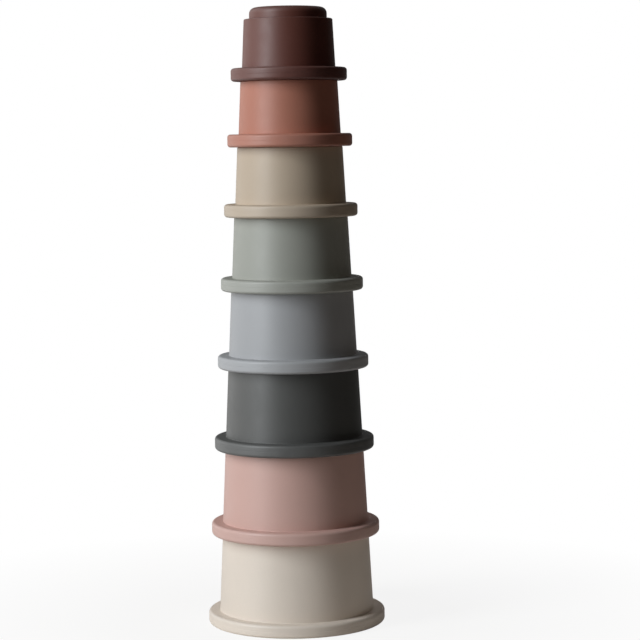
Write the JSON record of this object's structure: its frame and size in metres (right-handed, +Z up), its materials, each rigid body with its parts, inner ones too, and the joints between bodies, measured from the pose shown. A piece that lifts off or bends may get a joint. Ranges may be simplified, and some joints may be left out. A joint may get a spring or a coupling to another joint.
{
  "type": "stacking cup tower",
  "caption": "Tower of round nesting cups turned mouth down, each with a thick rim that seats on the shoulder of the larger cup below and lifts off its spigot.",
  "frame": {"origin": "centre of the largest cup's rim, on the surface that the tower stands on", "axes": "+Z up along the tower's axis, through the centre of every cup; X and Y are any two level directions"},
  "size_m": [0.09, 0.09, 0.3118],
  "materials": {
    "ivory": "moulded polypropylene, through-coloured, fine satin texture",
    "blush": "moulded polypropylene, through-coloured, fine satin texture",
    "charcoal": "moulded polypropylene, through-coloured, fine satin texture",
    "mist": "moulded polypropylene, through-coloured, fine satin texture",
    "sage": "moulded polypropylene, through-coloured, fine satin texture",
    "sand": "moulded polypropylene, through-coloured, fine satin texture",
    "clay": "moulded polypropylene, through-coloured, fine satin texture",
    "umber": "moulded polypropylene, through-coloured, fine satin texture"
  },
  "bodies": {
    "cup_1": {"cup_1_ivory": "ivory"},
    "cup_2": {"cup_2_blush": "blush"},
    "cup_3": {"cup_3_charcoal": "charcoal"},
    "cup_4": {"cup_4_mist": "mist"},
    "cup_5": {"cup_5_sage": "sage"},
    "cup_6": {"cup_6_sand": "sand"},
    "cup_7": {"cup_7_clay": "clay"},
    "cup_8": {"cup_8_umber": "umber"}
  },
  "joints": [
    {"name": "lift_cup_2", "type": "slide", "parent": "cup_1", "child": "cup_2", "axis": [0, 0, 1], "range_m": [0, 0.05]},
    {"name": "lift_cup_3", "type": "slide", "parent": "cup_2", "child": "cup_3", "axis": [0, 0, 1], "range_m": [0, 0.05]},
    {"name": "lift_cup_4", "type": "slide", "parent": "cup_3", "child": "cup_4", "axis": [0, 0, 1], "range_m": [0, 0.05]},
    {"name": "lift_cup_5", "type": "slide", "parent": "cup_4", "child": "cup_5", "axis": [0, 0, 1], "range_m": [0, 0.05]},
    {"name": "lift_cup_6", "type": "slide", "parent": "cup_5", "child": "cup_6", "axis": [0, 0, 1], "range_m": [0, 0.05]},
    {"name": "lift_cup_7", "type": "slide", "parent": "cup_6", "child": "cup_7", "axis": [0, 0, 1], "range_m": [0, 0.05]},
    {"name": "lift_cup_8", "type": "slide", "parent": "cup_7", "child": "cup_8", "axis": [0, 0, 1], "range_m": [0, 0.05]}
  ]
}
